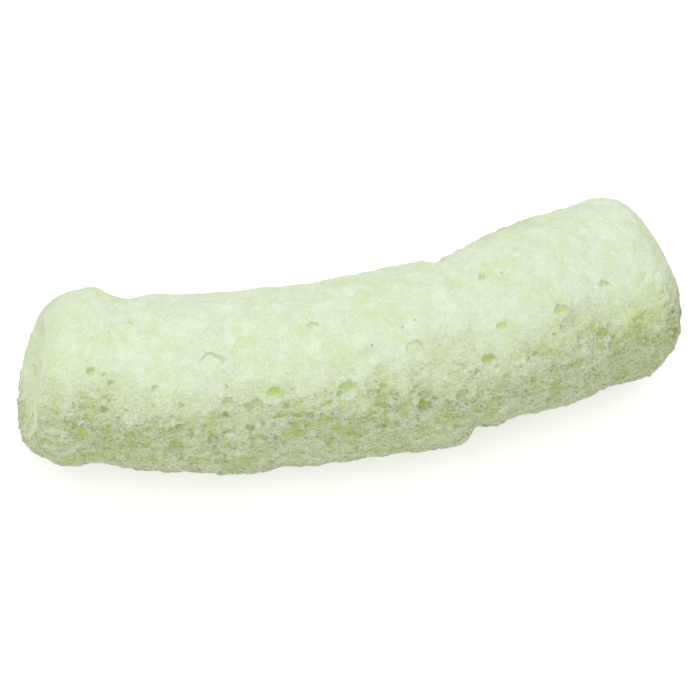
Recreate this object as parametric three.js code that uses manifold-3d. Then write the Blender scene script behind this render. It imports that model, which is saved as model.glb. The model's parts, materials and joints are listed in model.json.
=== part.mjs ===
// Short soft foam bait worm: one blown-foam stick with a dense skin and a cellular core.
// The stick lies on a surface. +X runs along it from the dished cut end to the round end, +Y is the side it bends
// towards, +Z is up. The origin is the bottom centre of its bounding box. Millimetres.
//
// Five stretches of the stick meet at four flex points. Every stretch is a skin sleeve or cup with a core inside, and
// two facing stretches are cut back to a shallow ridge, so that each flex point can bend both ways.

import * as THREE from 'three';
import { mergeVertices } from 'three/addons/utils/BufferGeometryUtils.js';
import Module from 'manifold-3d';

const wasm = await Module();
wasm.setup();

// Driving dimensions
const RADIUS = 6.65;            // half thickness of the stick
const REST_HEIGHT = 6.4;        // height of the centre line; the underside is flattened where it lies
const SKIN_THICKNESS = 0.5;
const CLEARANCE = 0.3;          // between the skin and its core, and between facing stretches
const BEND_LIMIT = 15;          // degrees each way at a flex point
const BEND_MARGIN = 1.5;        // degrees of free angle left at the limit

const RIM_ROUND = 2.4;          // edge rounding at the cut end
const DISH_DEPTH = 0.9;         // hollow of the cut end's face
const CUT_SLANT = Math.tan(THREE.MathUtils.degToRad(13)); // the cut face leans back this much at its top
const CUT_SLANT_REACH = 9;      // how far along the stick the slant fades out
const END_ROUND = 4.6;          // edge rounding at the round end
const END_CROWN = 0.7;          // bulge of the round end's face

const PROFILE_STEPS = 46;
const ROUND_STEPS = 26;
const CUTTER_REACH = 16;        // half width of the solids that cut the stick into stretches
const CUTTER_LENGTH = 80;

// The centre line seen from above, as it lies: nearly straight, then bent towards +Y at about two thirds.
const CENTRE_LINE = new THREE.CatmullRomCurve3(
  [
    [-24.0, -0.1],
    [-18.0, 0.1],
    [-12.0, 0.0],
    [-5.0, 0.5],
    [1.5, 2.1],
    [7.0, 3.3],
    [10.0, 5.1],
    [17.5, 9.0],
    [23.2, 11.2],
  ].map(([x, y]) => new THREE.Vector3(x, y, REST_HEIGHT)),
  false,
  'centripetal',
);
const LENGTH = CENTRE_LINE.getLength();

// Swelling of the stick along its length: [place from 0 to 1, added radius].
const SWELLING = new THREE.SplineCurve(
  [
    [0.0, -0.1],
    [0.12, -0.25],
    [0.3, -0.1],
    [0.48, 0.15],
    [0.63, -0.05],
    [0.74, 0.05],
    [0.88, 0.2],
    [1.0, 0.0],
  ].map(([place, added]) => new THREE.Vector2(place, added)),
);

// Flex points: place along the centre line in millimetres from the cut end, and the line that the stretch turns about.
const FLEX_POINTS = [
  { place: 10.8, turnsAbout: 'up' },
  { place: 21.6, turnsAbout: 'side' },
  { place: 32.2, turnsAbout: 'up' },
  { place: 42.4, turnsAbout: 'side' },
];
const STRETCHES = ['cut_end', 'cut_side', 'middle', 'round_side', 'round_end'];
const ROOT_STRETCH = 2;

const UP = new THREE.Vector3(0, 0, 1);

function skinMaterial() {
  return new THREE.MeshStandardMaterial({ color: 0xd5e3c2, roughness: 0.62, metalness: 0 });
}

function coreMaterial() {
  return new THREE.MeshStandardMaterial({ color: 0xc3cf7e, roughness: 0.7, metalness: 0 });
}

// A three.js geometry as a manifold solid: one position per corner, and no triangle that has shrunk to a line.
function toSolid(geometry) {
  const plain = geometry.clone();
  plain.deleteAttribute('normal');
  plain.deleteAttribute('uv');
  const merged = mergeVertices(plain);
  const corners = [];
  for (let i = 0; i < merged.index.count; i += 3) {
    const [a, b, c] = [0, 1, 2].map((k) => merged.index.getX(i + k));
    if (a !== b && b !== c && c !== a) corners.push(a, b, c);
  }
  return new wasm.Manifold(
    new wasm.Mesh({
      numProp: 3,
      vertProperties: Float32Array.from(merged.attributes.position.array),
      triVerts: Uint32Array.from(corners),
    }),
  );
}

function toGeometry(solid) {
  const mesh = solid.getMesh();
  const geometry = new THREE.BufferGeometry();
  geometry.setAttribute('position', new THREE.BufferAttribute(mesh.vertProperties, 3));
  geometry.setIndex(new THREE.BufferAttribute(mesh.triVerts, 1));
  geometry.computeVertexNormals();
  return geometry;
}

// Centre line frame at a distance from the cut end, carried on in a straight line past both ends.
function frameAt(distance) {
  const inside = THREE.MathUtils.clamp(distance, 0, LENGTH);
  const along = CENTRE_LINE.getTangentAt(inside / LENGTH).setZ(0).normalize();
  const side = new THREE.Vector3().crossVectors(UP, along).normalize();
  const centre = CENTRE_LINE.getPointAt(inside / LENGTH).addScaledVector(along, distance - inside);
  return { centre, along, side };
}

// Half outline of the straightened stick, inset all round: dished face, side, crowned round end.
function halfOutline(inset) {
  const radius = RADIUS - inset;
  const start = inset;
  const end = LENGTH - inset;
  const rim = Math.max(RIM_ROUND - inset, 0.2);
  const round = END_ROUND - inset;
  const outline = new THREE.Path();
  outline.moveTo(0, start + DISH_DEPTH);
  outline.quadraticCurveTo(radius * 0.6, start + DISH_DEPTH, radius - rim, start);
  outline.quadraticCurveTo(radius, start, radius, start + rim);
  outline.lineTo(radius, end - END_CROWN - round);
  outline.quadraticCurveTo(radius, end - END_CROWN, radius - round, end - END_CROWN * 0.6);
  outline.quadraticCurveTo(radius * 0.3, end, 0, end);
  return outline.getSpacedPoints(PROFILE_STEPS);
}

// The whole stick, inset all round: turned as a lathe form, then laid along the centre line and flattened underneath.
function stickSolid(inset) {
  const turned = new THREE.LatheGeometry(halfOutline(inset), ROUND_STEPS);
  const position = turned.attributes.position;
  for (let i = 0; i < position.count; i += 1) {
    const [across, distance, height] = [-position.getX(i), position.getY(i), position.getZ(i)];
    const place = THREE.MathUtils.clamp(distance / LENGTH, 0, 1);
    const fullness = 1 + SWELLING.getPointAt(place).y / RADIUS;
    const slantFade = THREE.MathUtils.clamp(1 - distance / CUT_SLANT_REACH, 0, 1);
    const { centre, along, side } = frameAt(distance + height * CUT_SLANT * slantFade);
    const point = centre.addScaledVector(side, across * fullness).addScaledVector(UP, height * fullness);
    position.setXYZ(i, point.x, point.y, point.z);
  }
  const lowest = new THREE.BoxGeometry(CUTTER_LENGTH, CUTTER_LENGTH, CUTTER_LENGTH);
  lowest.translate(0, 0, CUTTER_LENGTH / 2 + inset);
  return toSolid(turned).intersect(toSolid(lowest));
}

// Everything on one side of a flex point: a block that ends in a shallow ridge along the line it turns about.
function blockBeside(flexPoint, direction) {
  const { centre, along, side } = frameAt(flexPoint.place);
  const setBack = CLEARANCE / 2;
  const slope = Math.tan(THREE.MathUtils.degToRad((BEND_LIMIT + BEND_MARGIN) / 2));
  const outline = new THREE.Shape();
  outline.moveTo(setBack, 0);
  outline.lineTo(setBack + CUTTER_REACH * slope, CUTTER_REACH);
  outline.lineTo(CUTTER_LENGTH, CUTTER_REACH);
  outline.lineTo(CUTTER_LENGTH, -CUTTER_REACH);
  outline.lineTo(setBack + CUTTER_REACH * slope, -CUTTER_REACH);
  outline.closePath();
  const block = new THREE.ExtrudeGeometry(outline, { depth: 2 * CUTTER_REACH, bevelEnabled: false });
  block.translate(0, 0, -CUTTER_REACH);
  const away = along.clone().multiplyScalar(direction);
  const ridge = flexPoint.turnsAbout === 'up' ? UP : side;
  const across = new THREE.Vector3().crossVectors(ridge, away);
  block.applyMatrix4(new THREE.Matrix4().makeBasis(away, across, ridge).setPosition(centre));
  return toSolid(block);
}

// The part of a whole-stick solid that belongs to one stretch.
function stretchOf(whole, index) {
  const fromCutEnd = index > 0 ? blockBeside(FLEX_POINTS[index - 1], 1) : null;
  const toRoundEnd = index < FLEX_POINTS.length ? blockBeside(FLEX_POINTS[index], -1) : null;
  return [fromCutEnd, toRoundEnd].reduce((solid, block) => (block ? solid.intersect(block) : solid), whole);
}

const outside = stickSolid(0);
const hollow = stickSolid(SKIN_THICKNESS);
const skin = outside.subtract(hollow);
const core = stickSolid(SKIN_THICKNESS + CLEARANCE);

// The point that a stretch turns about: the root stretch has none, and sits at its own middle.
function pivotOf(index) {
  if (index === ROOT_STRETCH) {
    return frameAt((FLEX_POINTS[index - 1].place + FLEX_POINTS[index].place) / 2).centre;
  }
  return frameAt(FLEX_POINTS[index < ROOT_STRETCH ? index : index - 1].place).centre;
}

function pieceMesh(name, solid, pivot, material) {
  const mesh = new THREE.Mesh(toGeometry(solid).translate(-pivot.x, -pivot.y, -pivot.z), material);
  mesh.name = name;
  return mesh;
}

// One group for each stretch, nested from the root outwards, so that turning a group bends the stick from there.
const stretchGroups = STRETCHES.map((name, index) => {
  const pivot = pivotOf(index);
  const group = new THREE.Group();
  group.add(pieceMesh(`${name}_skin`, stretchOf(skin, index), pivot, skinMaterial()));
  group.add(pieceMesh(`${name}_core`, stretchOf(core, index), pivot, coreMaterial()));
  group.userData.pivot = pivot;
  return group;
});

stretchGroups.forEach((group, index) => {
  if (index === ROOT_STRETCH) {
    group.position.copy(group.userData.pivot);
    return;
  }
  const parent = stretchGroups[index < ROOT_STRETCH ? index + 1 : index - 1];
  group.position.subVectors(group.userData.pivot, parent.userData.pivot);
  parent.add(group);
});

// The bottom centre of the whole stick's box goes to the origin.
const bounds = new THREE.Box3().setFromBufferAttribute(toGeometry(outside).attributes.position);
const bottomCentre = bounds.getCenter(new THREE.Vector3()).setZ(bounds.min.z);

const worm = new THREE.Group();
worm.add(stretchGroups[ROOT_STRETCH]);
worm.position.copy(bottomCentre).negate();

export default worm;
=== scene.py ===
# %% [markdown]
# # A soft foam bait worm
# The object is a short, fat stick of blown foam, such as a bait that floats and holds scent. It
# comes out of a die as a hot, gassy paste: the gas makes cells, the outside sets to a thin pale
# skin, some cells burst through it, and the stick is cut off while it is soft. So it has a milky,
# pebbly skin, burst cells with yellow-green insides, a coarse wrinkled underside, one slanted
# dished end and one round end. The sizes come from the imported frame, in metres; the foam is
# worked out in millimetres, because its cells are a fraction of a millimetre.

# %% Load the frame
import json
import math

import bpy
import numpy as np
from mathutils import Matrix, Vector, kdtree


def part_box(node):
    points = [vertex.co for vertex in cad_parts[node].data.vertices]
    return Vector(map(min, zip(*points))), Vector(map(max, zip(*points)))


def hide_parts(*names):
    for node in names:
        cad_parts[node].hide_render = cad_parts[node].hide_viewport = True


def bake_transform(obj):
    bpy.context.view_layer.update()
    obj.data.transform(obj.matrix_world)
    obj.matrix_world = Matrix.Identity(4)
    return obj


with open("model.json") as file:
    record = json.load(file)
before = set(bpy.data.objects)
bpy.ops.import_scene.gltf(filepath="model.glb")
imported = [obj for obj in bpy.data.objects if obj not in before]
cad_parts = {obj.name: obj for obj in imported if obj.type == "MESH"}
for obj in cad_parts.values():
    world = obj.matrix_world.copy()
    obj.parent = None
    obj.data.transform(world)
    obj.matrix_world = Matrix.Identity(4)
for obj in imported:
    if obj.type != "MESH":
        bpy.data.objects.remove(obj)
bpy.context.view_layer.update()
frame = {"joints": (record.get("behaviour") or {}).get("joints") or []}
MM = 0.001

# %% [markdown]
# ## Camera
# A long lens from above the front, half way between level and straight down, as a person looks at
# something on a table. A long lens keeps the two ends the same size. The camera is made first, so
# that every later step can be looked at as soon as it exists.

# %% Camera
CAMERA_TILT = math.radians(45)
LENS_MM = 200
SENSOR_MM = 36
PICTURE_WIDTH_MM = 51.2
AIM_MM = (0.0, 0.0, 5.25)


def add_camera():
    camera = bpy.data.objects.new("camera", bpy.data.cameras.new("camera"))
    camera.data.lens = LENS_MM
    camera.data.sensor_width = SENSOR_MM
    camera.data.clip_start = 0.01
    camera.data.clip_end = 10
    distance = PICTURE_WIDTH_MM * MM * LENS_MM / SENSOR_MM
    towards_camera = Vector((0, -math.cos(CAMERA_TILT), math.sin(CAMERA_TILT)))
    camera.location = Vector(AIM_MM) * MM + towards_camera * distance
    camera.rotation_euler = towards_camera.to_track_quat("Z", "Y").to_euler()
    bpy.context.collection.objects.link(camera)
    bpy.context.scene.camera = camera
    print("camera distance in mm:", round(distance / MM, 1))


add_camera()

# %% [markdown]
# ## The line that the stick follows
# The worm lies bent. The four hinges of the frame sit on its centre line, and the boxes of the
# end skins give where it starts and ends, so six points fix the line. A Catmull-Rom spline runs
# through them without corners. From here on a place on the worm is given by how far along the
# line it is, and by an angle around it: 0 is on top, 90 degrees is the back (+Y), and -90 degrees
# is the front.

# %% Centre line
joint_at = {j["child"]: np.array(j["pos_m"]) / MM for j in frame["joints"]}
CUT_TIP_INSET = 1.08            # from the box's low X to where the line starts
ROUND_TIP_INSET = (0.63, 4.87)  # from the box's high X and Y to where the line ends


def line_points():
    low_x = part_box("cut_end_skin")[0][0] / MM
    high_x, high_y, _ = (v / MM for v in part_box("round_end_skin")[1])
    hinges = [joint_at[name] for name in ("cut_end", "cut_side", "round_side", "round_end")]
    height = hinges[0][2]
    start = (low_x + CUT_TIP_INSET, hinges[0][1], height)
    end = (high_x - ROUND_TIP_INSET[0], high_y - ROUND_TIP_INSET[1], height)
    return np.array([start, *hinges, end])


def walked(points):
    """How far along a line each of its points is."""
    return np.concatenate([[0], np.cumsum(np.linalg.norm(np.diff(points, axis=0), axis=1))])


def catmull_rom(points, steps=400):
    """A dense line through the points, with the ends carried straight on."""
    padded = np.vstack([2 * points[0] - points[1], points, 2 * points[-1] - points[-2]])
    t = np.linspace(0, 1, steps, endpoint=False)[:, None]
    runs = []
    for a, b, c, d in zip(padded, padded[1:], padded[2:], padded[3:]):
        squared, cubed = 2 * a - 5 * b + 4 * c - d, 3 * b - a - 3 * c + d
        runs.append(0.5 * (2 * b + (c - a) * t + squared * t**2 + cubed * t**3))
    return np.vstack([*runs, points[-1:]])


dense_line = catmull_rom(line_points())
dense_place = walked(dense_line)
LENGTH = dense_place[-1]
dense_heading = np.unwrap(np.arctan2(np.gradient(dense_line[:, 1]), np.gradient(dense_line[:, 0])))


def place_of(point):
    """How far along the line a point of it is."""
    return dense_place[np.argmin(np.linalg.norm(dense_line - point, axis=1))]


def lay(along, across, up):
    """Bend a straight stick's points onto the line: along it, across to the back, and up."""
    inside = np.clip(along, 0, LENGTH)
    heading = np.interp(inside, dense_place, dense_heading)
    x = np.interp(inside, dense_place, dense_line[:, 0])
    y = np.interp(inside, dense_place, dense_line[:, 1])
    beyond = along - inside
    x = x + beyond * np.cos(heading) - across * np.sin(heading)
    y = y + beyond * np.sin(heading) + across * np.cos(heading)
    return np.stack(np.broadcast_arrays(x, y, dense_line[0, 2] + up), axis=-1)


print("centre line length in mm:", round(LENGTH, 2))

# %% [markdown]
# ## Outline and grid
# Half the outline of the straight stick runs from the middle of the dished cut face, over its
# soft rim, along the side and over the round end. It could be a lathe, but a lathe crowds its
# points at both poles. Here rings of points cover the side and the edges, and a square grid,
# stretched to a disc, covers each end's face, so that the points are about as far apart
# everywhere and can all carry foam relief.

# %% Outline
RADIUS = 6.62
RIM_ROUND = 1.9                 # rounding of the cut face's soft rim
DISH_DEPTH = 0.8
DISH_SPREAD = 0.6               # how far out the dish stays deep, as a share of the radius
END_ROUND = 3.5                 # rounding of the round end's edge
END_CROWN = 0.7                 # how far the round end's face stands out in all
CROWN_SPREAD = 0.3              # how far out it stays full, as a share of the radius
CROWN_LOST = 0.6                # share of it that is gone at the face's edge


def quadratic(a, b, c, steps=60):
    t = np.linspace(0, 1, steps)[:, None]
    a, b, c = (np.array(p, float) for p in (a, b, c))
    return (1 - t) ** 2 * a + 2 * t * (1 - t) * b + t**2 * c


rim_inside = (0, RADIUS - RIM_ROUND)
crown_edge = (LENGTH - CROWN_LOST * END_CROWN, RADIUS - END_ROUND)
outline = np.vstack([
    quadratic((DISH_DEPTH, 0), (DISH_DEPTH, DISH_SPREAD * RADIUS), rim_inside),
    quadratic(rim_inside, (0, RADIUS), (RIM_ROUND, RADIUS))[1:],
    quadratic((LENGTH - END_CROWN - END_ROUND, RADIUS), (LENGTH - END_CROWN, RADIUS), crown_edge),
    quadratic(crown_edge, (LENGTH, CROWN_SPREAD * RADIUS), (LENGTH, 0))[1:],
])
outline_walk = walked(outline)
print("outline in mm:", round(outline_walk[-1], 2))

# %% Grid
AROUND = 448                    # points in a ring, a multiple of 8
FACE_STEPS = AROUND // 4        # grid steps across an end's face
POINT_GAP = 2 * math.pi * RADIUS / AROUND
FACE_WALK = 3.6                 # how far a face's grid reaches from its middle
FACE_EDGE = 1 - 1e-9            # shares of the radius from here on are on the last ring

side_start, side_end = FACE_WALK, outline_walk[-1] - FACE_WALK
RINGS = round((side_end - side_start) / POINT_GAP) + 1
ring_walk = np.linspace(side_start, side_end, RINGS)


def disc_grid():
    """A square grid stretched to a disc: share of the radius, angle, and nearest ring point."""
    step = np.linspace(-1, 1, FACE_STEPS + 1)
    u, v = np.meshgrid(step, step, indexing="ij")
    share = np.maximum(abs(u), abs(v))
    past_u = math.pi / 4 * v / np.where(u == 0, 1, u)
    past_v = math.pi / 4 * u / np.where(v == 0, 1, v)
    angle = np.where(abs(u) >= abs(v), np.where(u < 0, math.pi, 0) + past_u,
                     math.pi / 2 * np.sign(v) - past_v)
    edge = np.round(angle * AROUND / (2 * math.pi)).astype(int) % AROUND
    return share, angle, edge


def build_grid():
    """Every point's walk along the outline and angle, and the quads: the side, then the faces."""
    turn = np.arange(AROUND) * 2 * math.pi / AROUND
    walk = [np.repeat(ring_walk, AROUND)]
    angle = [np.tile(turn, RINGS)]
    i, j = np.meshgrid(np.arange(RINGS - 1), np.arange(AROUND), indexing="ij")
    after = (j + 1) % AROUND
    here, ahead = i * AROUND, (i + 1) * AROUND
    quads = [np.stack([here + j, ahead + j, ahead + after, here + after], -1).reshape(-1, 4)]
    share, disc_angle, edge = disc_grid()
    inner = share < FACE_EDGE
    used = RINGS * AROUND
    for first, flip in ((0, False), (RINGS - 1, True)):
        number = first * AROUND + edge
        number[inner] = used + np.arange(inner.sum())
        used += inner.sum()
        reach = share[inner] * FACE_WALK
        walk.append(outline_walk[-1] - reach if flip else reach)
        angle.append(disc_angle[inner])
        corners = [number[:-1, :-1], number[1:, :-1], number[1:, 1:], number[:-1, 1:]]
        square = np.stack(corners, -1).reshape(-1, 4)
        quads.append(square[:, ::-1] if flip else square)
    return np.concatenate(walk), np.concatenate(angle), quads


walk, angle, quads = build_grid()
along = np.interp(walk, outline_walk, outline[:, 0])
reach = np.interp(walk, outline_walk, outline[:, 1])
all_quads = np.vstack(quads)
print("points:", len(walk), "quads:", len(all_quads), "gap in mm:", round(POINT_GAP, 3))

# %% [markdown]
# ## Noise made of arithmetic
# Foam is random at every scale, and the same worm has to come out on every run. So each random
# value is worked out from whole-number places with a scrambling rule instead of being drawn from
# a changing source. `noise` is smooth and wavy between -1 and 1. `cells` gives the distance to
# the nearest two of many scattered points, which is how packed bubbles share out space. The last
# number given to either is a seed, and each use has its own.

# %% Noise helpers
NOISE_GAIN = 1.5                # brings the waves up to about -1 and 1
CELL_REACH = 0.75               # how far from its middle a cell still feels it, in cells


def scramble(cell, seed):
    """A number from 0 to 1 for each whole-number cell (last axis x, y, z)."""
    h = np.full(cell.shape[:-1], (seed * 2654435761) % 2**32, np.uint32)
    for axis, odd in enumerate((0x9E3779B1, 0x85EBCA77, 0xC2B2AE3D)):
        h = (h ^ cell[..., axis].astype(np.uint32)) * np.uint32(odd)
        h ^= h >> np.uint32(15)
    h *= np.uint32(0x27D4EB2F)
    h ^= h >> np.uint32(13)
    h *= np.uint32(0x165667B1)
    return (h ^ (h >> np.uint32(16))).astype(np.float64) / 2**32


def noise(points, size, seed):
    """Smooth gradient noise with lumps about as large as size."""
    p = points / size
    cell = np.floor(p).astype(np.int64)
    part = p - cell
    ease = part**3 * (part * (part * 6 - 15) + 10)
    total = np.zeros(len(p))
    for corner in np.ndindex(2, 2, 2):
        here = cell + corner
        slope = np.stack([scramble(here, seed + 7 * k) for k in range(3)], -1) * 2 - 1
        share = np.prod(np.where(corner, ease, 1 - ease), axis=-1)
        total += share * np.sum(slope * (part - corner), axis=-1)
    return total * NOISE_GAIN


def cells(points, size, seed):
    """Packed cells: depth inside the wall, closeness to the cell's middle, and its random value."""
    p = points / size
    cell = np.floor(p).astype(np.int64)
    nearest = np.full(len(p), 9.0)
    second = np.full(len(p), 9.0)
    value = np.zeros(len(p))
    for step in np.ndindex(3, 3, 3):
        here = cell + step - 1
        rolls = np.stack([scramble(here, seed + 11 * k) for k in range(3)], -1)
        distance = np.linalg.norm(p - here - rolls, axis=-1)
        closer = distance < nearest
        value = np.where(closer, (rolls[:, 0] * 7.31 + rolls[:, 1] * 3.77) % 1, value)
        second = np.minimum(second, np.maximum(nearest, distance))
        nearest = np.minimum(nearest, distance)
    return second - nearest, 1 - np.clip(nearest / CELL_REACH, 0, 1) ** 2, value


def ramp(value, low, high):
    """0 below low, 1 above high, and smooth between."""
    t = np.clip((value - low) / (high - low), 0, 1)
    return t * t * (3 - 2 * t)


def ridge(value, middle, width):
    """1 at a middle value, falling off on both sides of it."""
    return np.exp(-(((value - middle) / width) ** 2))


def mix(low, high, share):
    return low + (high - low) * share


probe = np.array([[0.3, 0, 0], [1.6, 0, 0], [2.9, 0, 0]])
print("noise at three places:", noise(probe, 1.0, 1).round(2))


# %% [markdown]
# ## The large shape
# A cut and handled foam stick is never a true cylinder. Both ends lean back at their tops. Broad
# swellings and dents are listed where the real one has them: each has a place along, an
# angle around, how far it reaches along and around, and how high it stands. Slow noise adds the
# rest, and the underside is pressed flat where the worm lies.

# %% Swellings
CUT_LEAN = math.tan(math.radians(14))   # the cut face leans back at its top
CUT_TURN = math.tan(math.radians(5.5))  # and is turned a little to the front
CUT_TURN_FROM = 4.7                     # mm towards the back where the turn starts
CUT_SHIFT = -0.15                       # and the whole face stands out a little
CUT_BOW = 0.65                          # mm that its back top and front bottom are pushed in
CUT_REACH = 9.0                         # how far along the two are felt
ROUND_LEAN = 0.09                       # the round end leans back at its top too
ROUND_SHIFT = -0.60                     # and the whole of it is pushed in
ROUND_REACH = 8.0
SWELL_FROM = 0.5                        # mm from the line where swelling starts
SWELL_FULL = 0.8                        # share of the radius where it's full
SWELLINGS = [  # along, angle, reach along, reach around, height
    (3.6, 45, 2.2, 5.0, 0.50),
    (6.6, 45, 1.4, 5.0, -0.32),
    (0.0, -135, 2.4, 6.0, -1.45),
    (2.6, -135, 2.0, 5.0, -0.15),
    (5.4, -135, 1.8, 5.0, -0.85),
    (8.5, -135, 7.0, 6.0, -0.62),
    (15.5, -135, 3.0, 4.5, 0.20),
    (18.0, -135, 1.6, 4.5, -0.30),
    (24.0, -135, 6.0, 5.0, -0.38),
    (25.4, 45, 2.0, 5.0, 0.35),
    (29.4, 45, 2.4, 4.5, 0.45),
    (31.4, 45, 0.6, 4.0, -0.35),
    (35.5, 45, 4.5, 5.0, 0.50),
    (32.1, 45, 0.6, 4.0, -0.20),
    (30.0, -135, 0.6, 4.0, 0.15),
    (31.3, -135, 0.9, 5.0, -0.75),
    (34.0, -135, 2.6, 5.0, -0.95),
    (40.5, -135, 4.0, 5.0, -0.30),
    (40.5, 45, 3.6, 5.0, 0.55),
    (46.8, 30, 2.4, 4.8, 0.75),
    (48.5, -135, 2.5, 5.0, -0.50),
]
SLOW_NOISE = [(9.0, 0.16), (4.0, 0.10), (1.9, 0.09), (1.1, 0.13)]  # lump size, height


def around_gap(angle, degrees):
    """Distance around the stick from an angle, in mm."""
    turn = (angle - math.radians(degrees) + math.pi) % (2 * math.pi) - math.pi
    return turn * RADIUS


def hill(place, degrees, reach_along, reach_around):
    """1 at a place and angle on the side, falling off over the two reaches."""
    far = ((along - place) / reach_along) ** 2
    far += (around_gap(angle, degrees) / reach_around) ** 2
    return np.exp(-far)


def large_shape():
    """The straight stick's points, and the same points swollen, leaned and bent onto the line."""
    straight = np.stack([along, reach * np.sin(angle), reach * np.cos(angle)], -1)
    grown = np.zeros(len(along))
    for *where, height in SWELLINGS:
        grown += height * hill(*where)
    for number, (size, height) in enumerate(SLOW_NOISE):
        grown += height * noise(straight, size, 100 + number)
    fullness = 1 + grown / RADIUS * ramp(reach, SWELL_FROM, RADIUS * SWELL_FULL)
    across, up = straight[:, 1] * fullness, straight[:, 2] * fullness
    cut_lean = up * CUT_LEAN + np.maximum(CUT_TURN_FROM - across, 0) * CUT_TURN + CUT_SHIFT
    cut_lean += CUT_BOW * ((up + across) / RADIUS) ** 2 / 2
    cut_lean *= np.clip(1 - along / CUT_REACH, 0, 1)
    round_lean = ROUND_SHIFT - ROUND_LEAN * np.maximum(up + across, 0)
    round_lean *= np.clip((along - LENGTH) / ROUND_REACH + 1, 0, 1)
    return straight, lay(along + cut_lean + round_lean, across, up)


def face_normals_to_points(points):
    """Unit normals at the points, from the quads that meet there."""
    a, b, c, d = (points[all_quads[:, k]] for k in range(4))
    flat = np.cross(c - a, d - b)
    total = np.zeros_like(points)
    for axis in range(3):
        total[:, axis] = sum(np.bincount(corner, flat[:, axis], len(points))
                             for corner in all_quads.T)
    return total / np.linalg.norm(total, axis=1, keepdims=True)


straight, base = large_shape()
base_normal = face_normals_to_points(base)
print("large shape in mm:", base.min(axis=0).round(2), base.max(axis=0).round(2))

# %% [markdown]
# ## Foam relief
# Every layer moves the points along the surface's own direction, in millimetres. Packed cells
# make low domes with grooves between them. The upper skin, which stretched while it was hot, is
# nearly smooth; lower down it is coarse and drawn into wrinkles along the stick. A remeshed
# boolean foam would take minutes and lose the grid; moving a fine grid keeps it fast and exact.

# %% Foam zones
COARSE_ANGLE = 55               # degrees from the top where the skin turns coarse
COARSE_BLUR = 30
BY_HEIGHT = 0.6                 # how much an end's face goes by its height instead of its angle
WANDER = [(14, 6.0, 201), (12, 1.6, 202)]   # degrees that the border wanders, lump size, seed
CUT_FACE_EDGE = (2.2, 0.7)      # mm from the side over which the smooth cut face ends
CUT_FACE_FOOT = (-5.0, -2.0)    # mm of height over which it turns coarse at its bottom
CUT_FACE_SMOOTH = 0.85


def coarse_zone():
    """0 on the smooth upper skin and the cut face, 1 on the coarse skin lower down."""
    from_top = np.degrees(np.abs((angle + math.pi) % (2 * math.pi) - math.pi))
    height = straight[:, 2]
    from_top = mix(from_top, np.degrees(np.arccos(np.clip(height / RADIUS, -1, 1))), BY_HEIGHT)
    wander = sum(degrees * noise(straight, size, seed) for degrees, size, seed in WANDER)
    lower = ramp(from_top + wander, COARSE_ANGLE - COARSE_BLUR, COARSE_ANGLE + COARSE_BLUR)
    edge = (RADIUS - inset for inset in CUT_FACE_EDGE)
    on_cut_face = (along < RIM_ROUND) * (1 - ramp(reach, *edge))
    return lower * (1 - CUT_FACE_SMOOTH * (on_cut_face * ramp(height, *CUT_FACE_FOOT)))


coarse = coarse_zone()
print("share of coarse points:", round(coarse.mean(), 2))

# %% Skin relief
UPPER_CELLS = [  # cell size, height of the domes
    (1.25, 0.050),
    (0.66, 0.045),
    (0.34, 0.036),
]
COARSE_CELLS = [  # cell size, how drawn out along the stick, height or depth, height of the walls
    (1.50, 1.7, 0.110, 0.035),
    (0.75, 1.5, 0.090, 0.048),
    (0.40, 1.4, 0.078, 0.042),
    (0.25, 1.2, 0.040, 0.018),
]
SUNKEN_SHARE = 0.6              # of the coarse cells, the rest bulge
CELL_SLOPE = (0.02, 0.42)       # depths inside a wall where its cell starts and is level
WALL_WIDTH = 0.09
HOLLOW_SHADE, HOLLOW_STEP = 0.55, 0.12      # how much painted shade a sunken cell gets, and less for each layer
FOLD_DRAWN, FOLD_SIZE, FOLD_HEIGHT = 4.5, 0.75, 0.05
FINE_SIZE = 0.26                # the finest lumps
UPPER_FINE, COARSE_FINE = 0.016, 0.018
WARP, WARP_SIZE = 0.45, 1.5     # how far the cells are pushed out of their even packing


def upper_relief(warped):
    """Closed cells under a stretched skin: low domes, some higher than others, and a tone that
    paints highlight on the higher domes and shade on the lower ones.
    """
    relief, milky_dome_light_and_shade = np.zeros(len(warped)), np.zeros(len(warped))
    for number, (size, height) in enumerate(UPPER_CELLS):
        _, middle, value = cells(warped, size, 310 + 5 * number)
        relief += height * (middle * (0.25 + 1.1 * value) - 0.4)
        # The tone follows the cell's height: painted highlight on higher domes, painted shade on
        # lower ones.
        milky_dome_light_and_shade += (value - 0.5) * middle
    return relief + UPPER_FINE * noise(warped, FINE_SIZE, 309), milky_dome_light_and_shade


def coarse_relief(warped):
    """Sunken and bulging cells drawn out along the stick, their walls, long folds, and painted
    shade in the sunken cells.
    """
    relief, shade_and_thin_skin = np.zeros(len(warped)), np.zeros(len(warped))
    for number, (size, drawn, height, wall_height) in enumerate(COARSE_CELLS):
        wall, middle, value = cells(warped / np.array([drawn, 1.0, 1.0]), size, 330 + 5 * number)
        swell = np.where(value < SUNKEN_SHARE, -1.0, 0.9) * (0.3 + 0.7 * ((value * 5.3) % 1))
        inside = ramp(wall, *CELL_SLOPE)
        relief += height * swell * inside
        relief += wall_height * ridge(wall, 0, WALL_WIDTH)
        # Painted shade in the sunken cells.
        shade_and_thin_skin += np.clip(-swell, 0, 1) * inside * (HOLLOW_SHADE - HOLLOW_STEP * number)
    folds = 1 - np.abs(noise(warped / np.array([FOLD_DRAWN, 1.0, 1.0]), FOLD_SIZE, 350)) * 2.6
    relief = relief + FOLD_HEIGHT * (folds - 0.4)
    return relief + COARSE_FINE * noise(warped, FINE_SIZE, 351), shade_and_thin_skin


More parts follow.
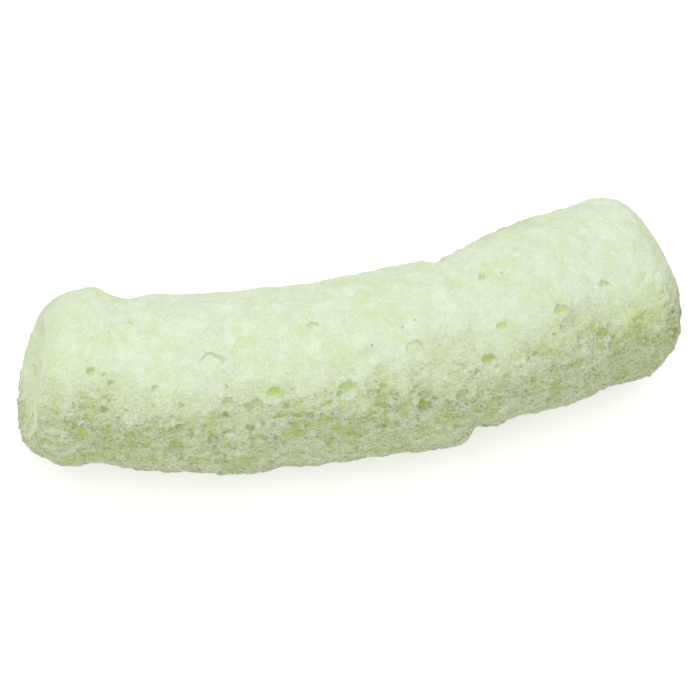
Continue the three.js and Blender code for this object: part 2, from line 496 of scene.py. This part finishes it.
def skin_relief():
    """The whole skin's relief, the tone of its upper cells with their painted light and shade, and
    the painted shade in its sunken coarse cells.
    """
    push = np.stack([noise(straight, WARP_SIZE, 301 + k) for k in range(3)], -1)
    warped = straight + WARP * push
    upper, milky_dome_light_and_shade = upper_relief(warped)
    lower, shade_and_thin_skin = coarse_relief(warped)
    return mix(upper, lower, coarse), mix(milky_dome_light_and_shade, 0, coarse), shade_and_thin_skin * coarse


relief, milky_dome_light_and_shade, shade_and_thin_skin = skin_relief()
print("skin relief in mm:", relief.min().round(3), relief.max().round(3))

# %% [markdown]
# ## Bubbles and burst cells
# A closed bubble is a round hump with a milky top and a painted highlight. A burst cell is a bowl
# with a thin raised lip; the yellow-green of the plastic is painted on its upper wall as painted
# shade, its upper rim gets painted shade, and its lower lip a painted highlight. The clearest
# ones, and the patches of thin skin and one of painted shade, are listed one by one. The rest are
# drawn at random from a fixed seed, more of them in the coarse skin, and none on top of another.
# A tree of the points finds those near a bubble, which is far quicker than measuring to all of
# them.

# %% Finding points
DRAW_SEED = 20
TRIES = 3                       # random places tried for each bubble that is wanted
CLOSENESS = 0.95                # how near two bubbles can be, as a share of their radii together

tree = kdtree.KDTree(len(base))
for number, point in enumerate(base):
    tree.insert(point, number)
tree.balance()
draw = np.random.default_rng(DRAW_SEED)


def point_at(place, degrees):
    """The number of the grid point nearest to a place and angle on the side."""
    gap = (along - place) ** 2 + around_gap(angle, degrees) ** 2
    gap[reach < RADIUS * 0.3] = np.inf      # not in the middle of a face
    return int(np.argmin(gap))


def patch(centre, radius):
    """Points near a centre point, and how far off each is."""
    found = tree.find_range(base[centre], radius)
    return np.array([n for _, n, _ in found]), np.array([d for _, _, d in found])


def scatter(count, smallest, largest, wanted, taken):
    """Random bubbles (point number, radius), clear of the taken ones, by each point's chance."""
    chance = wanted / wanted.sum()
    made = []
    for centre in draw.choice(len(base), size=count * TRIES, p=chance):
        radius = smallest + (largest - smallest) * draw.random() ** 2
        spots = np.array([base[c] for c, _ in taken]).reshape(-1, 3)
        room = (np.array([r for _, r in taken]) + radius) * CLOSENESS
        if np.any(np.linalg.norm(spots - base[centre], axis=1) < room):
            continue
        made.append((int(centre), float(radius)))
        taken.append(made[-1])
        if len(made) == count:
            break
    return made


# %% Marks listed one by one
GREEN_PATCHES = [  # thin yellow-green skin, and one of painted shade: place, angle, reach along, reach around, strength
    (43.4, -72, 3.2, 2.6, 1.30),
    # painted shade in the crease at the cut face's near rim
    (0.7, -34, 0.45, 2.0, 0.80),
    (10.2, -38, 1.6, 0.7, 0.45),
    (6.5, -50, 2.0, 1.2, 0.40),
    (21.0, -30, 3.0, 1.5, 0.30),
    (13.0, -72, 3.0, 1.4, 0.45),
    (29.0, -62, 3.0, 1.2, 0.40),
]
BURST_CELLS = [  # place, angle, radius, depth, how much the green inside shows
    (13.3, -32, 0.72, 0.07, 0.10),
    (20.5, -13, 0.42, 0.07, 0.50),
    (17.5, -54, 0.62, 0.14, 1.00),
    (14.4, -57, 0.46, 0.14, 0.30),
    (14.2, -64, 0.27, 0.24, 1.00),
    (16.1, -61, 0.60, 0.14, 0.25),
    (22.3, -55, 0.56, 0.12, 0.80),
    (21.8, -57, 0.22, 0.22, 1.00),
    (27.3, -72, 0.52, 0.32, 0.95),
    (31.7, -53, 0.46, 0.12, 1.00),
    (19.7, -69, 0.30, 0.24, 0.90),
    (20.6, -74, 0.62, 0.16, 0.45),
    (10.7, -87, 0.50, 0.22, 0.60),
    (13.2, -82, 0.40, 0.20, 0.90),
    (7.8, -87, 0.42, 0.24, 0.80),
    (7.3, -2, 0.22, 0.07, 0.60),
    (41.5, -35, 0.46, 0.06, 0.90),
    (37.3, -39, 0.50, 0.08, 0.80),
    (33.0, -35, 0.36, 0.06, 0.80),
    (27.2, -37, 0.60, 0.07, 0.12),
    (39.9, -65, 0.50, 0.14, 0.85),
    (47.6, -85, 0.42, 0.35, 0.35),
    (3.8, -77, 0.85, 0.22, 0.25),
]
SPECKS = [(26.7, -21), (24.4, -30), (20.9, -54), (14.4, -47), (34.9, -1), (27.6, -18)]
print("placed by hand:", len(BURST_CELLS), "burst cells", len(GREEN_PATCHES), "patches")

# %% Burst cells and bubbles
BURST_REACH, BUBBLE_REACH = 1.8, 1.4        # how far the skin around one is worked, in radii
SKYWARD = np.array([0.0, 0.45, 0.9])        # up and a little to the back, where the light comes from; burst cells get painted shade on this side
LIP_HEIGHT = 0.16                           # as a share of the radius
LARGEST_LIP = 0.4                           # the radius from which it doesn't grow
masks = {name: np.zeros(len(base)) for name in ("plastic_green_in_shade", "milk_and_highlight", "rim", "speck")}


def mark(name, numbers, strength):
    """Raise a mask at some points, where it isn't stronger already."""
    masks[name][numbers] = np.maximum(masks[name][numbers], strength)


def press_burst(centre, radius, depth, green, seed):
    """An uneven bowl with a thin torn lip; the plastic's yellow-green is painted on its upper wall
    as painted shade, its upper rim gets painted shade and its lower lip a painted highlight.
    """
    numbers, distance = patch(centre, radius * BURST_REACH)
    offset = base[numbers] - base[centre]
    normal = base_normal[centre]
    uphill = SKYWARD - normal * (SKYWARD @ normal)
    uphill /= max(np.linalg.norm(uphill), 0.2)
    spot = offset / radius + seed
    wobble = 1 + 0.30 * noise(offset / radius + seed * 3.7, 1.5, 400) + 0.35 * noise(spot, 0.7, 404)
    q = distance / (radius * wobble)
    rise = np.clip(offset @ uphill / radius, -1, 1)
    bowl = -depth * np.clip(1 - q**2, 0, 1) ** 1.1
    torn = 1 + 0.9 * noise(offset * 3 + seed, 0.8, 401)
    lip = LIP_HEIGHT * min(radius, LARGEST_LIP) * ridge(q, 1.05, 0.14) * torn
    relief[numbers] = relief[numbers] * mix(0.45, 1, ramp(q, 0.75, 1.15)) + bowl + lip
    torn_rise = rise + 0.7 * noise(spot, 0.6, 402)
    # The plastic's yellow-green, painted as shade on the upper wall, which faces away from the
    # light.
    inside = (1 - ramp(q, 0.55, 1.10)) * ramp(torn_rise, -0.35, 0.35)
    mark("plastic_green_in_shade", numbers, green * inside)
    # Painted highlight on the lower lip, the side of the bowl that faces the light.
    lit_lower_lip = ridge(q, 0.95, 0.22) * ramp(-rise, 0.1, 0.7)
    mark("milk_and_highlight", numbers, 1.6 * lit_lower_lip * min(1, 0.4 + green))
    # Painted shade along the upper rim.
    mark("rim", numbers, ridge(q, 1.0, 0.14) * ramp(torn_rise, -0.5, 0.9))


def raise_bubble(centre, radius, height):
    """A closed bubble: a smooth hump with a shallow ring where it meets the skin, and a cloudy
    white top with a painted highlight.
    """
    numbers, distance = patch(centre, radius * BUBBLE_REACH)
    q = distance / radius
    hump = height * np.clip(1 - q**2, 0, 1) ** 1.2
    ring = -0.25 * height * ridge(q, 1.02, 0.16)
    relief[numbers] = relief[numbers] * mix(0.35, 1, ramp(q, 0.6, 1.1)) + hump + ring
    # Milky top with a painted highlight.
    mark("milk_and_highlight", numbers, 1 - ramp(q, 0.3, 0.9))


# %% Fill the skin
CLOSED_BUBBLES = (420, 0.22, 0.55)      # how many, smallest radius, largest radius
SMALL_BURSTS = (900, 0.10, 0.30)
RANDOM_SPECKS = 8
SPECK_RADIUS = 0.13

taken = [(point_at(place, degrees), radius) for place, degrees, radius, _, _ in BURST_CELLS]
for seed, ((centre, radius), (*_, depth, green)) in enumerate(zip(taken, BURST_CELLS)):
    press_burst(centre, radius, depth, green, seed)
for centre, radius in scatter(*CLOSED_BUBBLES, 0.45 + coarse, taken):
    raise_bubble(centre, radius, radius * (0.09 + 0.13 * coarse[centre]))
for seed, (centre, radius) in enumerate(scatter(*SMALL_BURSTS, 0.01 + coarse**1.5, taken)):
    green = 0.9 * draw.random() ** 3
    press_burst(centre, radius, radius * (0.4 + 0.5 * draw.random()), green, 100 + seed)
random_specks = draw.integers(0, len(base), RANDOM_SPECKS)
for centre in [*(point_at(*speck) for speck in SPECKS), *random_specks]:
    numbers, distance = patch(centre, SPECK_RADIUS)
    mark("speck", numbers, 1 - distance / SPECK_RADIUS)
print("bubbles:", len(taken))

# %% Foam surface
REST_LEVEL = 0.04               # mm above the table where the lowest skin is pressed flat
REST_GRAIN, REST_LUMP = 0.03, 0.5   # how uneven it stays, and its lump size


def foam_surface():
    points = base + base_normal * relief[:, None]
    low = REST_LEVEL + REST_GRAIN * noise(straight, REST_LUMP, 500)
    points[:, 2] = np.maximum(points[:, 2], low)
    return points


surface = foam_surface()
surface_normal = face_normals_to_points(surface)
print("foam surface in mm:", surface.min(axis=0).round(2), surface.max(axis=0).round(2))

# %% [markdown]
# ## Four pieces
# The whole worm flexes, so the foam is parted between the hinges, where nothing bends. Each piece
# holds one hinge, and both sides of a parting lie in the same body. Two partings are half way
# between hinges. The first is nearer the cut end, because the piece there carries the cut face's
# points too, and a piece can't have too many. The points of a parting are the same on both sides,
# and every point keeps the direction worked out on the whole worm, so the parting doesn't show.
# Each piece is closed inside by a plain fan.

# %% Partings
PIECES = [  # name, first body, second body, joint between them
    ("foam_cut_end", "cut_end", "cut_side", "cut_end_bend"),
    ("foam_cut_side", "cut_side", "middle", "cut_side_lift"),
    ("foam_round_side", "middle", "round_side", "round_side_bend"),
    ("foam_round_end", "round_side", "round_end", "round_end_lift"),
]
hinge_at = {j["name"]: np.array(j["pos_m"]) / MM for j in frame["joints"]}
hinge_place = [place_of(hinge_at[joint]) for _, _, _, joint in PIECES]
PARTING_SHARES = (0.42, 0.5, 0.5)   # how far each parting is from one hinge to the next
parting_place = [mix(*gap) for gap in zip(hinge_place, hinge_place[1:], PARTING_SHARES)]
ring_place = np.interp(ring_walk, outline_walk, outline[:, 0])
parting_ring = [int(np.argmin(abs(ring_place - place))) for place in parting_place]
first_ring = [0, *parting_ring]
last_ring = [*parting_ring, RINGS - 1]
print("hinges at mm:", np.round(hinge_place, 2), "partings at mm:", np.round(parting_place, 2))


def piece_quads(number):
    """The quads of one piece: its rings, and an end's face on the first and the last piece."""
    per_ring = quads[0].reshape(RINGS - 1, AROUND, 4)
    parts = [per_ring[first_ring[number]:last_ring[number]].reshape(-1, 4)]
    if number == 0:
        parts.append(quads[1])
    if number == len(PIECES) - 1:
        parts.append(quads[2])
    return parts


# %% [markdown]
# ## A flat map
# For the finish to be baked to flat pictures, for use outside Blender, every quad needs a place of
# its own on a map. An automatic unwrap of so many quads is slow. The grid already is a flat map:
# the side is laid out as two strips, and an end's face as a square beside them.

# %% Flat map
MAP_GAP = 0.4                   # room between parts of the map, in mm
ALONG_CORNERS = np.array([0, 1, 1, 0])  # a quad's corners, in steps along and around
AROUND_CORNERS = np.array([0, 0, 1, 1])


def flat_map(number, parts):
    """Where each quad corner lies on the map, in mm: the side in two strips, then the face."""
    rings = last_ring[number] - first_ring[number]
    half = AROUND // 2
    i, j = np.divmod(np.arange(rings * AROUND)[:, None], AROUND)
    u = (i + ALONG_CORNERS) * POINT_GAP + np.where(j < half, 0, rings * POINT_GAP + MAP_GAP)
    v = (j % half + AROUND_CORNERS) * POINT_GAP
    maps = [np.stack([u, v], -1)]
    if len(parts) > 1:
        face_gap = 2 * FACE_WALK / FACE_STEPS
        a, b = np.divmod(np.arange(FACE_STEPS**2)[:, None], FACE_STEPS)
        corner_a, corner_b = (a + ALONG_CORNERS) * face_gap, (b + AROUND_CORNERS) * face_gap
        if number:
            corner_a, corner_b = corner_a[:, ::-1], corner_b[:, ::-1]
        maps.append(np.stack([corner_a, half * POINT_GAP + MAP_GAP + corner_b], -1))
    return np.vstack(maps)


# %% [markdown]
# ## Fields and meshes
# What the finish needs to know at a place, such as how coarse the skin is or how much painted shade
# it gets, is kept at the points as named fields. Then each piece takes its quads, its points and
# their fields from the whole worm.

# %% Fields
PATCH_LUMP = 0.7                # lump size that makes the thin patches uneven
DISH_SHADE = 0.5               # how much painted shade the cut face's dish gets
DISH_EDGE = (0.35, 0.75)        # shares of the radius over which that ends
RELIEF_LOW, RELIEF_HIGH = -0.13, 0.14   # mm of relief that get the most painted shade and the most painted light

uneven = 0.8 + 0.7 * noise(straight, PATCH_LUMP, 360)
for *where, strength in GREEN_PATCHES:
    shade_and_thin_skin = np.maximum(shade_and_thin_skin, strength * hill(*where) * uneven)
dish = (along < RIM_ROUND) * (1 - ramp(reach, *(RADIUS * share for share in DISH_EDGE)))
fields = {
    "coarse": coarse, **masks, "milky_dome_light_and_shade": milky_dome_light_and_shade,
    # painted shade in sunken cells and the dish, with the green of thin skin
    "shade_and_thin_skin": np.maximum(shade_and_thin_skin, DISH_SHADE * dish),
    # the coarse skin's painted light and shade go by this
    "height": ramp(relief, RELIEF_LOW, RELIEF_HIGH),
}
print("fields:", {name: round(float(values.mean()), 3) for name, values in fields.items()})


# %% Pieces as meshes
def build_piece(number):
    """One piece: its part of the skin, closed by a fan at each parting."""
    name = PIECES[number][0]
    parts = piece_quads(number)
    faces = np.vstack(parts)
    used, local = np.unique(faces, return_inverse=True)
    local = local.reshape(-1, 4)
    points = surface[used] * MM
    fans, fan_centres = [], []
    for ring, turned in ((first_ring[number], True), (last_ring[number], False)):
        if ring in (0, RINGS - 1):
            continue
        rim = np.searchsorted(used, ring * AROUND + np.arange(AROUND))
        centre = len(points) + len(fan_centres)
        fan_centres.append(points[rim].mean(axis=0))
        pair = (np.roll(rim, -1), rim) if turned else (rim, np.roll(rim, -1))
        fans.append(np.stack([*pair, np.full(AROUND, centre)], -1))
    all_points = np.vstack([points, *[c[None] for c in fan_centres]])
    mesh = bpy.data.meshes.new(name)
    mesh.from_pydata(all_points, [], [*local.tolist(), *np.vstack(fans).tolist()])
    uv = np.zeros((len(mesh.loops), 2), np.float32)
    flat = flat_map(number, parts).reshape(-1, 2)
    size = flat.max() + 3 * MAP_GAP
    uv[:len(flat)] = (flat + MAP_GAP / 2) / size
    uv[len(flat):] = 1 - MAP_GAP / size * draw.random((len(uv) - len(flat), 2))
    mesh.uv_layers.new(name="OFBake").data.foreach_set("uv", uv.ravel())
    for label, values in fields.items():
        at_points = np.append(values[used], np.zeros(len(fan_centres))).astype(np.float32)
        mesh.attributes.new(label, "FLOAT", "POINT").data.foreach_set("value", at_points)
    mesh.shade_smooth()
    normals = np.vstack([surface_normal[used], np.tile([1.0, 0, 0], (len(fan_centres), 1))])
    mesh.normals_split_custom_set_from_vertices(normals)
    piece = bpy.data.objects.new(name, mesh)
    bpy.context.collection.objects.link(piece)
    triangles = 2 * len(faces) + AROUND * len(fans)
    print(name, "faces:", len(mesh.polygons), "triangles:", triangles)
    return piece


pieces = [build_piece(number) for number in range(len(PIECES))]

# %% [markdown]
# ## Shader maths as Python
# A material is a chain of nodes, which is slow to read as calls. `Value` wraps one socket, so
# that `1 - mask` or `a * b + c` adds the Math nodes itself. `Shader` makes every other node by
# one method, and mixes colours.

# %% Shader helpers
class Value:
    def __init__(self, shader, socket):
        self.shader, self.socket = shader, socket

    def _math(self, operation, *inputs, clamp=False):
        settings = {"operation": operation, "use_clamp": clamp}
        return self.shader.node("ShaderNodeMath", settings, dict(enumerate(inputs)))

    def __add__(self, other):
        return self._math("ADD", self, other)

    def __sub__(self, other):
        return self._math("SUBTRACT", self, other)

    def __rsub__(self, other):
        return self._math("SUBTRACT", other, self)

    def __mul__(self, other):
        return self._math("MULTIPLY", self, other)

    __radd__, __rmul__ = __add__, __mul__

    def clamped(self):
        return self._math("ADD", self, 0.0, clamp=True)

    def between(self, low, high):
        """0 at low, 1 at high, clamped."""
        return self._math("DIVIDE", self - low, high - low, clamp=True)


class Shader:
    """The nodes of a material or a world."""
    def __init__(self, owner):
        self.owner = owner
        owner.use_nodes = True
        self.nodes, self.links = owner.node_tree.nodes, owner.node_tree.links
        self.nodes.clear()

    def node(self, kind, settings=None, sockets=None, out=0):
        """A node with its settings made first, then its sockets given values or links."""
        made = self.nodes.new(kind)
        for name, value in (settings or {}).items():
            setattr(made, name, value)
        for name, value in (sockets or {}).items():
            if isinstance(value, Value):
                self.links.new(value.socket, made.inputs[name])
            else:
                made.inputs[name].default_value = value
        return Value(self, made.outputs[out]) if len(made.outputs) else None

    def field(self, name):
        return self.node("ShaderNodeAttribute", {"attribute_name": name}, out="Fac")

    def texture(self, kind, size, shift=(0, 0, 0), stretch=(1, 1, 1), out=0, **sockets):
        """A texture fixed to the object: its size and shift in mm, drawn out along the axes."""
        moved = self.node("ShaderNodeMapping", None, {
            "Vector": self.node("ShaderNodeTexCoord", out="Object"),
            "Location": [v * MM for v in shift], "Scale": [1 / v for v in stretch]})
        return self.node(kind, None, {"Vector": moved, "Scale": 1 / (size * MM), **sockets}, out)

    def speckle(self, size, detail=2.0, roughness=0.5, **laid):
        """Noise from 0 to 1."""
        return self.texture("ShaderNodeTexNoise", size, Detail=detail, Roughness=roughness, **laid)

    def dots(self, size, radius, share, **laid):
        """Soft round spots of a radius, one in some of the cells of a size, all in mm."""
        near = self.texture("ShaderNodeTexVoronoi", size, out="Distance", **laid)
        colour = Value(self, near.socket.node.outputs["Color"])
        roll = self.node("ShaderNodeSeparateColor", None, {0: colour}, out="Red")
        spots = 1 - near.between(0.5 * radius / size, radius / size)
        return spots * (1 - roll.between(share - 0.02, share + 0.02))

    def lines(self, size, half_width, **laid):
        """Thin curved lines, where a noise passes its middle value."""
        off = self.speckle(size, detail=3.0, **laid) - 0.5
        distance = self.node("ShaderNodeMath", {"operation": "ABSOLUTE"}, {0: off})
        return 1 - distance.between(0.0, half_width)

    def mix(self, share, low, high):
        """Low colour to high colour by a share."""
        low, high = (c if isinstance(c, Value) else (*c, 1) for c in (low, high))
        sockets = {0: share, 6: low, 7: high}   # the factor and the two colours of a Mix node
        return self.node("ShaderNodeMix", {"data_type": "RGBA"}, sockets, out=2)

    def finish(self, surface, output="ShaderNodeOutputMaterial"):
        self.node(output, None, {"Surface": surface})
        return self.owner


# %% [markdown]
# ## The foam's finish
# The skin is a pale, milky green, because light spreads in its thin-walled cells. Where the wall
# is thin, in a burst cell or a fold, less of it comes back white and the yellow-green of the
# plastic shows. It could be done with subsurface light, but a bent, parted worm would show its
# partings then; colour by depth, kept at the points as named fields, gives the same look from
# every side. Much of that colour is painted light and shade: painted shade in sunken cells, low
# relief, the cut face's dish, folds, pits and the upper walls and rims of burst cells, and painted
# highlight on high relief, domes, bubble tops, glints and the lower lips of burst cells.

# %% Foam colours
PALE = (0.750, 0.850, 0.665)
YELLOWISH = (0.68, 0.81, 0.48)
# milky white, also used for painted highlights
MILKY_AND_HIGHLIGHT = (0.83, 0.92, 0.765)
# coarse skin: painted shade where the relief is low, painted light where it is high
COARSE_LOW_SHADED = (0.59, 0.76, 0.16)
COARSE_HIGH_LIT = (0.98, 1.0, 0.78)
# yellow-green of thin skin, also used as painted shade
THIN_SKIN_AND_SHADE_GREEN = (0.60, 0.76, 0.17)
# the plastic's yellow-green, used as painted shade on the upper walls of burst cells
SHADED_PLASTIC_GREEN = (0.50, 0.69, 0.04)
SHADED_EDGE = (0.17, 0.25, 0.03)
SPECK = (0.14, 0.17, 0.07)
GLINT = (0.97, 1.0, 0.86)
GRAIN_DARK = (0.28, 0.42, 0.07)
GRAIN_PALE = (0.96, 1.0, 0.78)


# %% Upper skin
def upper_skin(shader):
    """Yellowish and cloudy white clouds, painted highlight on the higher cells and painted shade on
    the lower ones, painted highlight spots, and round cells under the skin.
    """
    dome_light_and_shade = shader.field("milky_dome_light_and_shade")
    clouds = shader.speckle(2.6, detail=3.0).between(0.44, 0.66)
    colour = shader.mix(clouds * 0.6, PALE, YELLOWISH)
    clouds = shader.speckle(1.7, detail=3.0, shift=(0, 0, 5)).between(0.48, 0.66)
    colour = shader.mix(clouds * 0.45, colour, MILKY_AND_HIGHLIGHT)
    # Painted highlight on the higher domes, then painted shade on the lower ones.
    colour = shader.mix((dome_light_and_shade * 0.9 + 0.04).clamped(), colour, MILKY_AND_HIGHLIGHT)
    colour = shader.mix((dome_light_and_shade * -0.4).clamped(), colour, THIN_SKIN_AND_SHADE_GREEN)
    # Painted highlight spots on bubbles.
    colour = shader.mix(shader.dots(1.0, 0.30, 0.45) * 0.6, colour, MILKY_AND_HIGHLIGHT)
    return shader.mix(shader.dots(1.9, 0.22, 0.35) * 0.45, colour, THIN_SKIN_AND_SHADE_GREEN)


# %% Coarse skin
DRAWN = (1.5, 1, 1)             # the small marks are drawn out along the stick


def coarse_skin(shader):
    """Painted light where it stands high and painted shade where low, with patches, painted shade
    along folds with painted highlight beside it, painted pit shade, and painted glints.
    """
    # Painted light on high relief and painted shade on low relief.
    colour = shader.mix(shader.field("height"), COARSE_LOW_SHADED, COARSE_HIGH_LIT)
    patches = shader.speckle(3.2, detail=4.0, stretch=(1.8, 1, 1)).between(0.50, 0.66)
    colour = shader.mix(patches * 0.5, colour, THIN_SKIN_AND_SHADE_GREEN)
    present = shader.speckle(0.7, detail=1.0, shift=(0, 7, 0)).between(0.45, 0.52)
    # Painted shade along folds.
    folds = shader.lines(0.40, 0.07, stretch=DRAWN)
    colour = shader.mix(folds * present * 0.9, colour, SHADED_EDGE)
    # Painted highlight beside the folds' shade.
    fold_highlight = shader.lines(0.40, 0.08, stretch=DRAWN, shift=(0.02, 0.05, 0.08))
    colour = shader.mix(fold_highlight * present, colour, GLINT)
    # Painted shade of small pits, then painted glints.
    pit_shade = shader.dots(0.42, 0.15, 0.26, stretch=DRAWN, shift=(3, 0, 0))
    colour = shader.mix(pit_shade * 0.8, colour, SHADED_EDGE)
    glints = shader.dots(0.36, 0.15, 0.28, stretch=DRAWN, shift=(0, 5, 0))
    return shader.mix(glints * 0.95, colour, GLINT)


# %% Foam material
MARKS = [  # field, how strongly it shows, its colour
    # painted shade in sunken cells, the dish and a crease, and the green of thin skin
    ("shade_and_thin_skin", 0.5, THIN_SKIN_AND_SHADE_GREEN),
    # milky bubble tops and burst cells' lower lips, both with painted highlight
    ("milk_and_highlight", 0.62, MILKY_AND_HIGHLIGHT),
    # the plastic's green, painted as shade on the upper walls of burst cells
    ("plastic_green_in_shade", 0.92, SHADED_PLASTIC_GREEN),
    # painted shade on the upper rims of burst cells
    ("rim", 0.5, SHADED_EDGE),
    ("speck", 0.9, SPECK),
]
GRAIN_MM, BUMP_GRAIN_MM, BUMP_MM = 0.20, 0.17, 0.16
ROUGHNESS = 0.58
SPECULAR = 0.22


def foam_material():
    shader = Shader(bpy.data.materials.new("foam_skin"))
    coarse_share = shader.field("coarse")
    colour = shader.mix(coarse_share, upper_skin(shader), coarse_skin(shader))
    for field, strength, shade in MARKS:
        colour = shader.mix((shader.field(field) * strength).clamped(), colour, shade)
    grain = shader.speckle(GRAIN_MM, detail=4.0, roughness=0.7).between(0.30, 0.70)
    grainy = shader.mix(grain, GRAIN_DARK, GRAIN_PALE)
    fine = shader.speckle(BUMP_GRAIN_MM, detail=4.0, roughness=0.7)
    bump = {"Strength": 1.0, "Distance": BUMP_MM * MM, "Height": fine * (0.6 + coarse_share)}
    print("foam_skin nodes:", len(shader.nodes))
    return shader.finish(shader.node("ShaderNodeBsdfPrincipled", None, {
        "Base Color": shader.mix(coarse_share * 0.24 + 0.17, colour, grainy),
        "Roughness": ROUGHNESS - coarse_share * (0.06 + 0.20 * grain),
        "Normal": shader.node("ShaderNodeBump", None, bump),
        "Specular IOR Level": SPECULAR}))


foam = foam_material()
for piece in pieces:
    piece.data.materials.append(foam)

# %% [markdown]
# ## Standing in for the frame's parts
# Each piece stands for the skins and cores of its two stretches, which are hidden, and its
# transform is baked into its points. The places a few millimetres each side of its hinge are
# worked out too, but are not used.

# %% Standing in
BEND_REACH = 3.6                # mm each side of the hinge to the two places worked out

for piece, (_, first, second, joint) in zip(pieces, PIECES):
    place = place_of(hinge_at[joint])
    start, end = (lay(np.array([place + step]), 0.0, 0.0)[0] * MM
                  for step in (-BEND_REACH, BEND_REACH))
    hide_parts(*(f"{body}_{part}" for body in (first, second) for part in ("skin", "core")))
    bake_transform(piece)
print("riding:", [name for name, *_ in PIECES])

# %% [markdown]
# ## Table and light
# The worm lies on a plain white table. The white surroundings give most of the light, so that a
# colour shows about as it is written. A lamp high above brings out the relief, and a weaker one
# in front lights the lower side. The table glows a little and the sky is full white where the
# camera sees them, but not in the light that they give the foam.

# %% Table
TABLE_HALF = 2.0                # metres
TABLE_WHITE = 0.85
TABLE_GLOW = 0.55


def seen(shader):
    """1 on what the camera sees, straight or in a gloss, and 0 on what only gives light."""
    camera, glossy, through = (shader.node("ShaderNodeLightPath", out=f"Is {kind} Ray")
                               for kind in ("Camera", "Glossy", "Transmission"))
    return (camera + glossy + through).clamped()


def add_table():
    mesh = bpy.data.meshes.new("table")
    corners = [(x * TABLE_HALF, y * TABLE_HALF, 0) for x, y in ((-1, -1), (1, -1), (1, 1), (-1, 1))]
    mesh.from_pydata(corners, [], [(0, 1, 2, 3)])
    table = bpy.data.objects.new("table", mesh)
    bpy.context.collection.objects.link(table)
    shader = Shader(bpy.data.materials.new("table_white"))
    plain = shader.node("ShaderNodeBsdfDiffuse", None, {"Color": (*[TABLE_WHITE] * 3, 1)})
    glow = shader.node("ShaderNodeEmission", None, {"Color": (1, 1, 1, 1), "Strength": TABLE_GLOW})
    glowing = shader.node("ShaderNodeAddShader", None, {0: plain, 1: glow})
    both = shader.node("ShaderNodeMixShader", None, {0: seen(shader), 1: plain, 2: glowing})
    mesh.materials.append(shader.finish(both))
    print("table in m:", tuple(table.dimensions))


add_table()

# %% Lamps and surroundings
LAMPS = [  # name, place in mm, width in mm, power in watts
    ("lamp_above", (-40, 50, 300), 50, 0.29),
    ("lamp_front", (-70, -260, 95), 50, 0.145),
]
SURROUNDINGS = 0.71             # strength of their light


def add_lamps():
    for name, place, width, power in LAMPS:
        lamp = bpy.data.objects.new(name, bpy.data.lights.new(name, "AREA"))
        lamp.data.shape = "DISK"
        lamp.data.size = width * MM
        lamp.data.energy = power
        lamp.location = Vector(place) * MM
        lamp.rotation_euler = Vector(place).to_track_quat("Z", "Y").to_euler()
        bpy.context.collection.objects.link(lamp)
    world = bpy.data.worlds.new("surroundings")
    shader = Shader(world)
    strength = seen(shader) * (1 - SURROUNDINGS) + SURROUNDINGS
    sky = shader.node("ShaderNodeBackground", None, {"Color": (1, 1, 1, 1), "Strength": strength})
    bpy.context.scene.world = shader.finish(sky, "ShaderNodeOutputWorld")
    print("lamps:", [name for name, *_ in LAMPS])


add_lamps()
bpy.context.scene.view_settings.view_transform = "Standard"
